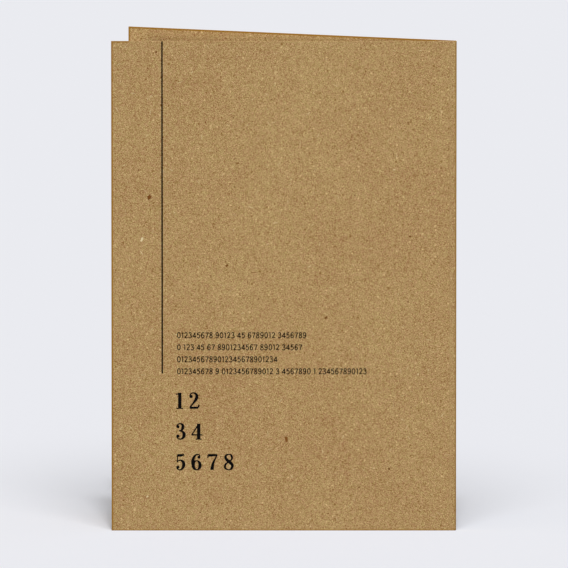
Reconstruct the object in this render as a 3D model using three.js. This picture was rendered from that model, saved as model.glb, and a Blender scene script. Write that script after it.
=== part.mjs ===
// A wedding invitation card: one sheet of brown kraft card, creased down its middle and folded once,
// that stands on its bottom edges with its two leaves a little apart.
// Millimetres, +Z up. The back leaf faces -Y and the fold is at the +X side. The origin is on the
// surface that the card stands on, under the middle of its bounding box.
import * as THREE from "three";

// The sheet
const LEAF_WIDTH = 118.5; // one leaf, from the outside of the fold to its cut edge
const LEAF_HEIGHT = 170;
const SHEET_THICKNESS = 0.45; // card of about 300 grams a square metre

// How far the card stands open
const OPENING_ANGLE_DEG = 17.65; // between the inner faces of the leaves

// The crease, which the creasing rule pressed from outside before the sheet was folded
const BEND_INNER_RADIUS = 0.35; // the inner face where it turns round the fold
const BEAD_RADIUS = 0.24; // the ridge raised along the inside of the fold
const SCORE_SETBACK = 1.3; // from the bend's centre to the middle of the rule's dent in each leaf
const SCORE_WIDTH = 0.7; // across one dent
const SCORE_DEPTH = 0.05; // of one dent into the outer face

const ARC_DIVISIONS = 8; // each arc of the section is drawn with twice as many straight steps

const openingAngle = THREE.MathUtils.degToRad(OPENING_ANGLE_DEG);
const bendOuterRadius = BEND_INNER_RADIUS + SHEET_THICKNESS;
const leafRun = LEAF_WIDTH - bendOuterRadius; // flat part of a leaf, from the bend's centre

// The line of symmetry between the leaves, seen from above. It leaves the spine at this angle.
const spineAngle = -openingAngle / 2;
const quarterTurn = Math.PI / 2;

// A shallow round dent in the back leaf's outer face, drawn from the fold towards the cut edge.
function addScoreDent(path) {
  const halfWidth = SCORE_WIDTH / 2;
  const radius = (halfWidth ** 2 + SCORE_DEPTH ** 2) / (2 * SCORE_DEPTH);
  const halfAngle = Math.asin(halfWidth / radius);
  const centreY = -bendOuterRadius + SCORE_DEPTH - radius;
  path.absarc(
    -SCORE_SETBACK,
    centreY,
    radius,
    quarterTurn - halfAngle,
    quarterTurn + halfAngle,
    false,
  );
}

// Half of the bead: from the inner face of the bend to the bead's crest, which points into the card.
function addHalfBead(path, reach) {
  path.absarc(
    BEND_INNER_RADIUS * Math.cos(spineAngle),
    BEND_INNER_RADIUS * Math.sin(spineAngle),
    BEAD_RADIUS,
    spineAngle - quarterTurn - reach / 2,
    spineAngle - 2 * quarterTurn,
    true,
  );
}

// The back leaf's half of the section, seen from above with the bend's centre at the origin:
// from the middle of the spine along the outer face, round the cut edge and back along the inner one.
function backLeafOutline() {
  const beadReach = 2 * Math.asin(BEAD_RADIUS / (2 * BEND_INNER_RADIUS)); // angle that the bead covers
  const path = new THREE.Path();
  path.absarc(0, 0, bendOuterRadius, spineAngle, -quarterTurn, true);
  addScoreDent(path);
  path.lineTo(-leafRun, -bendOuterRadius);
  path.lineTo(-leafRun, -BEND_INNER_RADIUS);
  path.absarc(0, 0, BEND_INNER_RADIUS, -quarterTurn, spineAngle - beadReach, false);
  addHalfBead(path, beadReach);
  return path.getPoints(ARC_DIVISIONS);
}

// A point of the back leaf, mirrored into the front leaf across the line of symmetry.
function mirrored(point) {
  const turn = 2 * spineAngle;
  return new THREE.Vector2(
    point.x * Math.cos(turn) + point.y * Math.sin(turn),
    point.x * Math.sin(turn) - point.y * Math.cos(turn),
  );
}

// The whole section: both halves share the middle of the spine and the crest of the bead.
function foldedSection() {
  const back = backLeafOutline();
  const front = back.slice(1, -1).map(mirrored).reverse();
  return new THREE.Shape([...back, ...front]);
}

function foldedSheet() {
  return new THREE.ExtrudeGeometry(foldedSection(), {
    depth: LEAF_HEIGHT,
    bevelEnabled: false,
  });
}

const kraftCard = new THREE.MeshStandardMaterial({
  color: 0xab8c5e,
  roughness: 0.9,
  metalness: 0,
});

const card = new THREE.Mesh(foldedSheet(), kraftCard);
card.name = "folded_card";

// The middle of the bounding box goes over the origin.
card.geometry.computeBoundingBox();
const middle = card.geometry.boundingBox.getCenter(new THREE.Vector3());
card.position.set(-middle.x, -middle.y, 0);

const invitation = new THREE.Group();
invitation.add(card);

export default invitation;
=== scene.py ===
"""A kraft wedding invitation: one sheet of card that is cut, printed flat, creased and folded once.

Every piece is made in the flat state first, as the printer makes it, and one fold rule then bends
the sheet, its print and its fibre flecks together. In the flat state a point is (along, below, up):
along the opened sheet from the crease (the back leaf is on the negative side), below its outer face,
and up the card. All lengths are in metres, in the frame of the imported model.
"""

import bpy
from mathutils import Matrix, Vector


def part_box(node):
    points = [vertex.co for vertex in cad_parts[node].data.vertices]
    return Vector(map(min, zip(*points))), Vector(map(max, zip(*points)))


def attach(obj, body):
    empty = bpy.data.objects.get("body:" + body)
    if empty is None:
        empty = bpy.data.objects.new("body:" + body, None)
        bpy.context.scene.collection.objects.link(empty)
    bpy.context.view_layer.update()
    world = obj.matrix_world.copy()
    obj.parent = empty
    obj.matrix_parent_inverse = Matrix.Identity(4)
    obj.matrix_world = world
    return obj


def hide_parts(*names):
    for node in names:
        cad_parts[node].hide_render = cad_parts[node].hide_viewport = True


bl_info = {
    "name": "Kraft Folded Invitation",
    "version": (1, 0, 0),
    "blender": (4, 5, 0),
    "location": "3D View > Sidebar > Invitation",
    "description": "Cuts, prints, creases and folds a kraft card invitation, and sets its stage",
    "category": "Object",
}

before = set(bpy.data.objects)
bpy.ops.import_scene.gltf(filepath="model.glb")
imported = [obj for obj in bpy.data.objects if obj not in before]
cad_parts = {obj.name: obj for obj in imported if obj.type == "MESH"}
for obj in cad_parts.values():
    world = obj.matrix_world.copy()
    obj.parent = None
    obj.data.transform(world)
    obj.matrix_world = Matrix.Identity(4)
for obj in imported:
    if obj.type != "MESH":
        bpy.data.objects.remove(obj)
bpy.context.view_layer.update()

import math
import random

import bmesh
import bpy
from bpy.props import FloatProperty, FloatVectorProperty, IntProperty, PointerProperty, StringProperty
from bpy.types import Operator, Panel, PropertyGroup
from mathutils import Vector
from mathutils.geometry import delaunay_2d_cdt

MM = 0.001

CARD_NODE = "folded_card"
ROOT_BODY = "root"
FLAT_PLACE = "flat_place"  # where a point lay in the flat sheet, for patterns that follow the card
FLECK_TONE = "fleck_tone"  # a random number for each fleck

CARD_LOW, CARD_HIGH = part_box(CARD_NODE)
LEAF_WIDTH = CARD_HIGH.x - CARD_LOW.x
LEAF_HEIGHT = CARD_HIGH.z - CARD_LOW.z
STANDING_DEPTH = CARD_HIGH.y - CARD_LOW.y
SHEET_THICKNESS = 0.45 * MM
BEND_INNER_RADIUS = 0.35 * MM


def opening_from_depth(leaf_width, depth, outer_radius):
    """The angle between the leaves of a card that stands that deep."""
    run = leaf_width - outer_radius
    reach = math.hypot(run, outer_radius)
    return math.asin((depth - outer_radius) / reach) - math.atan2(outer_radius, run)


OPENING_ANGLE = opening_from_depth(
    LEAF_WIDTH, STANDING_DEPTH, BEND_INNER_RADIUS + SHEET_THICKNESS
)


# Settings that a user would change

SMALLEST_LENGTH = 0.05 * MM


def colour_setting(name, description, default):
    return FloatVectorProperty(
        name=name,
        description=description,
        default=default,
        size=3,
        min=0.0,
        max=1.0,
        subtype="COLOR",
    )


def length_setting(name, description, default, least=SMALLEST_LENGTH):
    return FloatProperty(
        name=name,
        description=description,
        default=default,
        min=least,
        precision=5,
        unit="LENGTH",
    )


def amount_setting(name, description, default):
    return FloatProperty(name=name, description=description, default=default, min=0.0)


class SheetSettings(PropertyGroup):
    """Sizes of the folded sheet."""

    thickness: length_setting("Thickness", "Thickness of the card", SHEET_THICKNESS)
    bend_radius: length_setting(
        "Bend radius", "Radius of the inner face round the fold", BEND_INNER_RADIUS
    )
    opening: FloatProperty(
        name="Opening",
        description="Angle between the two leaves",
        default=OPENING_ANGLE,
        min=0.0,
        max=math.pi,
        subtype="ANGLE",
    )
    edge_softness: length_setting(
        "Edge softness",
        "How far the cut edges are rounded by the blade and by handling",
        0.05 * MM,
        least=0.0,
    )


class KraftSettings(PropertyGroup):
    """Colours and grain of the kraft card."""

    base_colour: colour_setting("Card", "Mean colour of the card", (0.397, 0.252, 0.1045))
    light_colour: colour_setting(
        "Pale pulp", "Colour of the palest grain", (0.646, 0.460, 0.220)
    )
    dark_colour: colour_setting(
        "Dark pulp", "Colour of the darkest grain", (0.191, 0.081, 0.011)
    )
    # The cut rim is a darker ochre band that the material lays along the cut edges.
    rim_colour: colour_setting(
        "Cut rim", "Colour of the pressed rim along the cut edges", (0.290, 0.142, 0.018)
    )
    # The crease colour is a darker, redder tint that the material lays round the fold.
    crease_colour: colour_setting(
        "Crease", "Colour of the card where it is rubbed at the fold", (0.385, 0.193, 0.010)
    )
    grain_size: length_setting(
        "Grain size", "Distance between neighbouring grains of pulp", 0.15 * MM
    )
    # Width of that darker ochre band along the cut edges.
    rim_width: length_setting(
        "Rim width", "Width of the pressed rim along the cut edges", 0.50 * MM, least=0.0
    )


class FleckSettings(PropertyGroup):
    """The fibres and specks in the pulp."""

    pale_density: amount_setting(
        "Pale fibres", "Pale fibres for each square metre of card", 16000.0
    )
    dark_density: amount_setting(
        "Dark specks", "Dark bark specks for each square metre of card", 11000.0
    )
    fibre_length: length_setting("Fibre length", "Length of a long fibre", 2.2 * MM)
    seed: IntProperty(name="Seed", description="Start of the random placing", default=7, min=0)


class PrintSettings(PropertyGroup):
    """Sizes and colour of the print."""

    ink_colour: colour_setting("Ink", "Colour of the ink", (0.0018, 0.0016, 0.0014))
    rule_width: length_setting("Rule width", "Width of the upright rule", 0.52 * MM)
    small_height: length_setting("Small numerals", "Height of the small numerals", 1.98 * MM)
    large_height: length_setting("Large numerals", "Height of the large numerals", 5.72 * MM)
    large_rows: StringProperty(
        name="Large rows",
        description="Large numerals, one row between spaces",
        default="12 34 5678",
    )


class StageSettings(PropertyGroup):
    """The floor, the light and the camera."""

    floor_colour: colour_setting("Floor", "Colour of the pale floor", (0.872, 0.880, 0.924))
    background_colour: colour_setting(
        "Background", "Colour that is seen past the end of the floor", (0.823, 0.831, 0.871)
    )
    sky: amount_setting("Sky", "Strength of the even light from all round", 0.16)
    key_light: amount_setting("Key light", "Strength of the small light high in front", 1.09)
    soft_light: amount_setting("Soft light", "Strength of the wide light high in front", 1.70)
    front_fill: amount_setting(
        "Front fill", "Strength of the low light on the front of the card alone", 1.34
    )
    rear_fill: amount_setting(
        "Rear fill", "Strength of the light on the back of the card alone", 2.6
    )
    side_fill: amount_setting(
        "Side fill", "Strength of the light that looks in on the back leaf's inner face", 1.5
    )
    left_fill: amount_setting(
        "Left fill", "Strength of the light that looks in on the front leaf's inner face", 0.6
    )
    lens: FloatProperty(
        name="Lens",
        description="Focal length of the camera, long so that the leaf stays a true rectangle",
        default=1200.0,
        min=50.0,
        unit="CAMERA",
    )
    elevation: FloatProperty(
        name="Elevation",
        description="How far the camera looks down",
        default=math.radians(8.58),
        subtype="ANGLE",
    )


SETTINGS = {
    "invitation_sheet": SheetSettings,
    "invitation_kraft": KraftSettings,
    "invitation_flecks": FleckSettings,
    "invitation_print": PrintSettings,
    "invitation_stage": StageSettings,
}


# The sheet's form, worked out from the settings


class SheetForm:
    """Lengths of the sheet that the pieces share."""

    def __init__(self, settings):
        self.thickness = settings.thickness
        self.outer_radius = settings.bend_radius + settings.thickness
        self.neutral_radius = settings.bend_radius + settings.thickness / 2
        self.opening = settings.opening
        self.softness = settings.edge_softness
        self.height = LEAF_HEIGHT
        self.run = LEAF_WIDTH - self.outer_radius
        self.half_arc = self.neutral_radius * (math.pi - self.opening) / 2
        self.half_length = self.half_arc + self.run
        self.centre = Vector(
            (CARD_HIGH.x - self.outer_radius, CARD_LOW.y + self.outer_radius, CARD_LOW.z)
        )

    def from_cut_edge(self, distance):
        """The place along the opened sheet of a point that far from the back leaf's cut edge."""
        return distance - self.half_length


# Helpers for meshes and node trees

WELD_DISTANCE = 0.0005 * MM


def new_piece(name, mesh):
    piece = bpy.data.objects.new(name, mesh)
    bpy.context.scene.collection.objects.link(piece)
    return piece


def mesh_from_bmesh(name, shape):
    """A mesh with its doubles merged and its faces turned outwards."""
    bmesh.ops.remove_doubles(shape, verts=shape.verts, dist=WELD_DISTANCE)
    bmesh.ops.recalc_face_normals(shape, faces=shape.faces)
    mesh = bpy.data.meshes.new(name)
    shape.to_mesh(mesh)
    shape.free()
    return mesh


def freeze(piece):
    """Turns what the modifiers make into the piece's own plain mesh."""
    graph = bpy.context.evaluated_depsgraph_get()
    made = bpy.data.meshes.new_from_object(
        piece.evaluated_get(graph), preserve_all_data_layers=True, depsgraph=graph
    )
    before = piece.data
    piece.modifiers.clear()
    piece.data = made
    bpy.data.meshes.remove(before)
    made.name = piece.name
    if not made.polygons:
        raise RuntimeError(f"{piece.name} came out empty")


class Wiring:
    """Adds nodes to a tree. An input is given a value, or another node's output socket."""

    def __init__(self, tree):
        self.tree = tree

    def node(self, kind, inputs=None, **settings):
        made = self.tree.nodes.new(kind)
        for name, value in settings.items():
            setattr(made, name, value)
        for key, value in (inputs or {}).items():
            self.feed(made.inputs[key], value)
        return made

    def feed(self, socket, value):
        if isinstance(value, bpy.types.NodeSocket):
            self.tree.links.new(value, socket)
        else:
            socket.default_value = value

    def math(self, operation, first, second=0.0):
        return self.node("ShaderNodeMath", {0: first, 1: second}, operation=operation).outputs[0]

    def plus(self, first, second):
        return self.math("ADD", first, second)

    def minus(self, first, second):
        return self.math("SUBTRACT", first, second)

    def times(self, first, second):
        return self.math("MULTIPLY", first, second)

    def split(self, vector):
        """The three parts of a vector."""
        return self.node("ShaderNodeSeparateXYZ", {0: vector}).outputs

    def join(self, first=0.0, second=0.0, third=0.0):
        """A vector of three parts."""
        return self.node("ShaderNodeCombineXYZ", {0: first, 1: second, 2: third}).outputs[0]

    def mapped(self, vector, **changes):
        """A vector that is scaled, turned and moved."""
        return self.node("ShaderNodeMapping", {"Vector": vector, **changes}).outputs[0]

    def ramp(self, value, low, high, smooth=True):
        """A number that goes from 0 to 1 while the value goes from low to high."""
        made = self.node(
            "ShaderNodeMapRange",
            {"Value": value, "From Min": low, "From Max": high},
            interpolation_type="SMOOTHSTEP" if smooth else "LINEAR",
        )
        return made.outputs["Result"]

    def mix(self, share, first, second):
        """A colour between two. The node's colour sockets come after those for numbers and vectors."""
        made = self.node("ShaderNodeMix", data_type="RGBA")
        self.feed(made.inputs[0], share)
        self.feed(made.inputs[6], first)
        self.feed(made.inputs[7], second)
        return made.outputs[2]


def new_geometry_tree(name, sockets):
    """A Geometry Nodes tree with geometry in and out and the named inputs, and its wiring."""
    tree = bpy.data.node_groups.new(name, "GeometryNodeTree")
    tree.interface.new_socket("Geometry", in_out="INPUT", socket_type="NodeSocketGeometry")
    for label, kind in sockets.items():
        tree.interface.new_socket(label, in_out="INPUT", socket_type=kind)
    tree.interface.new_socket("Geometry", in_out="OUTPUT", socket_type="NodeSocketGeometry")
    wiring = Wiring(tree)
    given = wiring.node("NodeGroupInput").outputs
    return tree, wiring, given


def end_tree(wiring, geometry, material):
    """Every tree ends in Realize Instances and Set Material."""
    real = wiring.node("GeometryNodeRealizeInstances", {0: geometry})
    coated = wiring.node(
        "GeometryNodeSetMaterial", {"Geometry": real.outputs[0], "Material": material}
    )
    wiring.node("NodeGroupOutput", {0: coated.outputs[0]})


def add_tree(piece, tree, values):
    """Puts the tree on the piece, with its inputs set by their identifiers."""
    modifier = piece.modifiers.new(tree.name, "NODES")
    modifier.node_group = tree
    for item in tree.interface.items_tree:
        if item.in_out == "INPUT" and item.name in values:
            modifier[item.identifier] = values[item.name]


# The fold rule


def fold_tree():
    """Bends the flat sheet round its crease, so that the middle of the card keeps its length."""
    name = "Fold the sheet"
    if name in bpy.data.node_groups:
        return bpy.data.node_groups[name]
    tree, wiring, given = new_geometry_tree(
        name,
        {
            "Opening": "NodeSocketFloat",
            "Half Arc": "NodeSocketFloat",
            "Neutral Radius": "NodeSocketFloat",
            "Outer Radius": "NodeSocketFloat",
            "Bend Centre": "NodeSocketVector",
            "Material": "NodeSocketMaterial",
        },
    )
    place = wiring.node("GeometryNodeInputPosition").outputs[0]
    marked = wiring.node(
        "GeometryNodeStoreNamedAttribute",
        {"Geometry": given["Geometry"], "Name": FLAT_PLACE, "Value": place},
        data_type="FLOAT_VECTOR",
        domain="POINT",
    )
    along, below, up = wiring.split(place)
    back_limit = wiring.times(given["Half Arc"], -1.0)
    in_bend = wiring.math("MINIMUM", wiring.math("MAXIMUM", along, back_limit), given["Half Arc"])
    in_leaf = wiring.minus(along, in_bend)
    turn = wiring.math("DIVIDE", in_bend, given["Neutral Radius"])
    heading = wiring.minus(turn, wiring.times(given["Opening"], 0.5))
    cosine = wiring.math("COSINE", heading)
    sine = wiring.math("SINE", heading)
    radius = wiring.minus(given["Outer Radius"], below)
    across = wiring.minus(wiring.times(radius, cosine), wiring.times(in_leaf, sine))
    deep = wiring.plus(wiring.times(radius, sine), wiring.times(in_leaf, cosine))
    folded = wiring.node(
        "ShaderNodeVectorMath",
        {0: wiring.join(across, deep, up), 1: given["Bend Centre"]},
        operation="ADD",
    )
    moved = wiring.node(
        "GeometryNodeSetPosition",
        {"Geometry": marked.outputs[0], "Position": folded.outputs[0]},
    )
    end_tree(wiring, moved.outputs[0], given["Material"])
    return tree


def fold(piece, form, material):
    """Folds a piece that was made flat, and leaves it as a plain mesh."""
    add_tree(
        piece,
        fold_tree(),
        {
            "Opening": form.opening,
            "Half Arc": form.half_arc,
            "Neutral Radius": form.neutral_radius,
            "Outer Radius": form.outer_radius,
            "Bend Centre": form.centre,
            "Material": material,
        },
    )
    freeze(piece)


# Materials

# Matt finishes: the least roughness, how much more the pattern adds, and the depth of the relief
CARD_FINISH = {"least_rough": 0.82, "more_rough": 0.14, "specular": 0.12, "depth": 0.03 * MM}
FLECK_FINISH = {"least_rough": 0.75, "more_rough": 0.2, "specular": 0.08, "depth": 0.01 * MM}
INK_FINISH = {"least_rough": 0.6, "more_rough": 0.3, "specular": 0.04, "depth": 0.02 * MM}
RELIEF_STRENGTH = 0.3

# The tone of the pulp is 0.5 where the card has its own colour. Each share is of one size of grain,
# and the sizes are counted in small grains.
FINE_SHARE = 0.71
COARSE_SHARE = 0.01
COARSE_SIZE = 3
CLOUD_SHARES = {10: 0.042, 30: 0.056, 120: 0.06, 500: 0.09}
DARK_TONE = 0.15
PALE_TONE = 0.85
CLOUD_HUE = 0.11  # how far a pale cloud leans to olive, and a dark one to red
GRAIN_HUE = 0.022
FELT_BUMPS = 0.3  # of the relief, to a small grain

# Small soft specks in the material, in millimetres: their spacing, the share of the places that have
# one, the smallest and the largest radius, and how far they have their colour.
DARK_SPECKS = {"spacing": 2.6, "share": 0.20, "small": 0.18, "large": 0.40, "strength": 0.8}
PALE_SPECKS = {"spacing": 2.2, "share": 0.16, "small": 0.18, "large": 0.42, "strength": 0.9}
PALE_SHIFT = (31.0, 7.0, 53.0)  # so that pale and dark specks don't fall together

# The darker ochre rim along the cut edges
RIM_STRENGTH = 0.95
FOOT_STRENGTH = 0.4
RIM_FULL = 0.85  # of its width
RIM_END = 1.35
RIM_WANDER = 0.7  # how far its inner border wanders, of its width
WANDER_SIZE = 1.1  # millimetres from one bay of the border to the next
CORNER_STRENGTH = 0.85
CORNER_FULL = 5.0 * MM
CORNER_END = 7.0 * MM

# The crease, tinted darker and redder, with short open fibres across it
CREASE_FULL = 0.40  # of half the bend
CREASE_END = 0.95
CREASE_TINT_STRENGTH = 0.6
OPEN_FIBRE_STRENGTH = 0.16
OPEN_FIBRES = {"scale": 1.6, "detail": 3.0, "roughness": 0.7}
FIBRE_COMBING = (0.35, 1.0, 2.6)  # draws the fibres out across the crease
FIBRE_EDGE = 0.48
FIBRE_CORE = 0.70

# A fleck's colour comes from its own tone, and for the rest from its streaks
FLECK_TONE_SHARE = 0.7
FLECK_STREAKS = {"scale": 4.0, "detail": 3.0, "roughness": 0.6}

# The ink is a little thinner where a coarse fibre took less of it
THIN_INK_COLOUR = (0.10, 0.065, 0.030)
THIN_INK_SHARE = 0.12
INK_PULP = {"scale": 3.2, "detail": 3.0, "roughness": 0.65}
THIN_EDGE = 0.56
THIN_CORE = 0.78

# The floor's colour takes back the brown light that the card throws on it. These are the gains in
# light where the printed face, or the front leaf, fills the floor's view.
BACK_LEAF_GLOW = (0.278, 0.128, -0.030)
FRONT_LEAF_GLOW = (0.75, 0.41, 0.15)
NEAREST_VIEW = 0.1 * MM  # least distance from a leaf that its light is worked out for
FLOOR_BOUNCE = 0.10  # share of its light that the floor throws back on the card
FLOOR_CLOUD = (0.8, 0.8, 0.85)
FLOOR_CLOUD_SHARE = 0.004
FLOOR_CLOUDS = 3.0  # to a metre


def new_material(name):
    """A material with a Principled shader alone, and its wiring."""
    material = bpy.data.materials.new(name)
    material.use_nodes = True
    tree = material.node_tree
    tree.nodes.clear()
    wiring = Wiring(tree)
    shader = wiring.node("ShaderNodeBsdfPrincipled")
    wiring.node("ShaderNodeOutputMaterial", {"Surface": shader.outputs[0]})
    return material, wiring, shader


def opaque(colour):
    return (*colour, 1.0)


def flat_place(wiring):
    """Where the point lay in the flat sheet."""
    return wiring.node("ShaderNodeAttribute", attribute_name=FLAT_PLACE).outputs["Vector"]


def sheet_millimetres(wiring):
    """The place in the flat sheet in millimetres, with the two faces kept apart in any pattern."""
    per_metre = 1 / MM
    face_gap = 24  # so that the inner face doesn't repeat the outer one
    scale = (per_metre, face_gap * per_metre, per_metre)
    return wiring.mapped(flat_place(wiring), Scale=scale)


def set_finish(wiring, shader, colour, pattern, relief, least_rough, more_rough, specular, depth):
    """Gives the shader a matt finish with a fine relief, of that depth in metres."""
    roughness = wiring.plus(wiring.times(pattern, more_rough), least_rough)
    wiring.feed(shader.inputs["Base Color"], colour)
    wiring.feed(shader.inputs["Roughness"], roughness)
    wiring.feed(shader.inputs["Specular IOR Level"], specular)
    bump = wiring.node(
        "ShaderNodeBump", {"Strength": RELIEF_STRENGTH, "Distance": depth, "Height": relief}
    )
    wiring.feed(shader.inputs["Normal"], bump.outputs[0])


def noise(wiring, place, scale, detail=2.0, roughness=0.5):
    return wiring.node(
        "ShaderNodeTexNoise",
        {"Vector": place, "Scale": scale, "Detail": detail, "Roughness": roughness},
    ).outputs[0]


def cells(wiring, place, size, dimensions="3D"):
    """A random number for each cell, and how far a point is from the middle of its cell, in cells."""
    pattern = wiring.node(
        "ShaderNodeTexVoronoi",
        {"Vector": place, "Scale": 1 / size},
        voronoi_dimensions=dimensions,
    )
    number = wiring.node("ShaderNodeSeparateColor", {0: pattern.outputs["Color"]}).outputs[0]
    return number, pattern.outputs["Distance"]


def grains(wiring, place, size):
    """A random number for each grain, from -0.5 to 0.5. The grains are about that many millimetres."""
    return wiring.minus(cells(wiring, place, size)[0], 0.5)


def clouds(wiring, place, size):
    """Soft cloudy tone about zero. The clouds are about that many millimetres."""
    return wiring.minus(noise(wiring, place, scale=1 / size), 0.5)


def add_specks(wiring, place, colour, speck_colour, spacing, share, small, large, strength):
    """Lays small round specks over a colour, in some of the cells of a loose lattice on the faces."""
    along, below, up = wiring.split(place)
    on_face = wiring.join(wiring.plus(along, below), up)
    chance, off_middle = cells(wiring, on_face, spacing, dimensions="2D")
    size = wiring.ramp(chance, 1 - share, 1.0, smooth=False)
    edge = wiring.plus(wiring.times(size, (large - small) / spacing), small / spacing)
    inside = wiring.ramp(wiring.minus(edge, off_middle), 0.0, small / spacing)
    chosen = wiring.times(inside, wiring.math("GREATER_THAN", chance, 1 - share))
    return wiring.mix(wiring.times(chosen, strength), colour, opaque(speck_colour))


def pulp_colour(wiring, place, kraft):
    """The colour of the pulp, from its fine and coarse grain and its clouds."""
    size = kraft.grain_size / MM
    coarse = grains(wiring, place, size * COARSE_SIZE)
    cloudy = 0.0
    for spread, share in CLOUD_SHARES.items():
        cloudy = wiring.plus(cloudy, wiring.times(clouds(wiring, place, size * spread), share))
    tone = wiring.plus(0.5, wiring.times(grains(wiring, place, size), FINE_SHARE))
    tone = wiring.plus(tone, wiring.times(coarse, COARSE_SHARE))
    pulp = wiring.node("ShaderNodeValToRGB", {0: wiring.plus(tone, cloudy)})
    darkest, palest = pulp.color_ramp.elements
    darkest.position = DARK_TONE
    darkest.color = opaque(kraft.dark_colour)
    palest.position = PALE_TONE
    palest.color = opaque(kraft.light_colour)
    pulp.color_ramp.elements.new(0.5).color = opaque(kraft.base_colour)
    hue = wiring.plus(0.5, wiring.times(cloudy, CLOUD_HUE))
    hue = wiring.plus(hue, wiring.times(coarse, GRAIN_HUE))
    leaning = wiring.node(
        "ShaderNodeHueSaturation", {"Hue": hue, "Color": pulp.outputs["Color"]}
    )
    return leaning.outputs[0]


def rim_share(wiring, place, kraft, form):
    """How far a point has the colour of the darker band along the cut edges."""
    along, _, up = wiring.split(flat_place(wiring))
    side_gap = wiring.minus(form.half_length, wiring.math("ABSOLUTE", along))
    top_gap = wiring.minus(form.height, up)
    ragged = wiring.times(clouds(wiring, place, WANDER_SIZE), kraft.rim_width * RIM_WANDER)

    def rim(gap, strength):
        """Full up to most of the rim's width, and gone a little past it."""
        reach = wiring.plus(gap, ragged)
        band = wiring.ramp(reach, kraft.rim_width * RIM_END, kraft.rim_width * RIM_FULL)
        return wiring.times(band, strength)

    # The head of the back leaf has the band near its corner only.
    corner = wiring.times(wiring.ramp(side_gap, CORNER_END, CORNER_FULL), CORNER_STRENGTH)
    on_front = wiring.math("GREATER_THAN", along, 0.0)
    head_strength = wiring.times(wiring.math("MAXIMUM", on_front, corner), RIM_STRENGTH)
    edges = wiring.math("MAXIMUM", rim(side_gap, RIM_STRENGTH), rim(top_gap, head_strength))
    return wiring.math("MAXIMUM", edges, rim(up, FOOT_STRENGTH))


def crease_shares(wiring, place, form):
    """How far a point is tinted, being at the crease, and how far it shows the open fibres there."""
    along = wiring.split(flat_place(wiring))[0]
    tinted = wiring.ramp(
        wiring.math("ABSOLUTE", along), form.half_arc * CREASE_END, form.half_arc * CREASE_FULL
    )
    combed = wiring.mapped(place, Scale=FIBRE_COMBING)
    fibres = wiring.ramp(noise(wiring, combed, **OPEN_FIBRES), FIBRE_EDGE, FIBRE_CORE)
    return tinted, wiring.times(tinted, fibres)


def kraft_material(kraft, form):
    """Uncoated kraft card: cloudy pulp grain, small specks, a darker ochre rim along the cut edges and a
    darker, redder crease.
    """
    material, wiring, shader = new_material("kraft_card")
    place = sheet_millimetres(wiring)
    colour = pulp_colour(wiring, place, kraft)
    colour = add_specks(wiring, place, colour, kraft.dark_colour, **DARK_SPECKS)
    shifted = wiring.mapped(place, Location=PALE_SHIFT)
    colour = add_specks(wiring, shifted, colour, kraft.light_colour, **PALE_SPECKS)
    colour = wiring.mix(rim_share(wiring, place, kraft, form), colour, opaque(kraft.rim_colour))
    tinted, opened = crease_shares(wiring, place, form)
    colour = wiring.mix(wiring.times(tinted, CREASE_TINT_STRENGTH), colour, opaque(kraft.crease_colour))
    colour = wiring.mix(
        wiring.times(opened, OPEN_FIBRE_STRENGTH), colour, opaque(kraft.light_colour)
    )
    felt = noise(wiring, place, scale=FELT_BUMPS * MM / kraft.grain_size, roughness=0.6)
    set_finish(wiring, shader, colour, felt, wiring.plus(felt, opened), **CARD_FINISH)
    return material


def fleck_material(name, first, second):
    """Fibres or specks, each of its own tone between two colours, with a streaky grain of its own."""
    material, wiring, shader = new_material(name)
    tone = wiring.node("ShaderNodeAttribute", attribute_name=FLECK_TONE).outputs["Fac"]
    streaks = noise(wiring, sheet_millimetres(wiring), **FLECK_STREAKS)
    share = wiring.plus(
        wiring.times(tone, FLECK_TONE_SHARE), wiring.times(streaks, 1 - FLECK_TONE_SHARE)
    )
    colour = wiring.mix(share, opaque(first), opaque(second))
    set_finish(wiring, shader, colour, streaks, streaks, **FLECK_FINISH)
    return material


def ink_material(ink_colour):
    """Matt ink that soaks into uncoated card."""
    name = "black_ink"
    if name in bpy.data.materials:
        return bpy.data.materials[name]
    material, wiring, shader = new_material(name)
    pulp = noise(wiring, sheet_millimetres(wiring), **INK_PULP)
    thin = wiring.times(wiring.ramp(pulp, THIN_EDGE, THIN_CORE), THIN_INK_SHARE)
    colour = wiring.mix(thin, opaque(ink_colour), opaque(THIN_INK_COLOUR))
    set_finish(wiring, shader, colour, pulp, pulp, **INK_FINISH)
    return material


def seen_directly(wiring):
    """1 for what the camera sees, also in a mirror or through glass, and 0 for light that bounces."""
    paths = wiring.node("ShaderNodeLightPath").outputs
    seen = wiring.math("MAXIMUM", paths["Is Camera Ray"], paths["Is Glossy Ray"])
    return wiring.math("MAXIMUM", seen, paths["Is Transmission Ray"])


def mirrored_place(wiring, place):
    """The place that lies to the back leaf as the given one lies to the front leaf."""
    outer_radius = BEND_INNER_RADIUS + SHEET_THICKNESS
    across = CARD_HIGH.x - outer_radius
    deep = CARD_LOW.y + outer_radius
    cosine = math.cos(OPENING_ANGLE)
    sine = math.sin(OPENING_ANGLE)
    shift = (across - across * cosine + deep * sine, deep + across * sine + deep * cosine, 0.0)
    turn = (0.0, 0.0, -OPENING_ANGLE)
    return wiring.mapped(place, Location=shift, Rotation=turn, Scale=(1.0, -1.0, 1.0))


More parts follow.
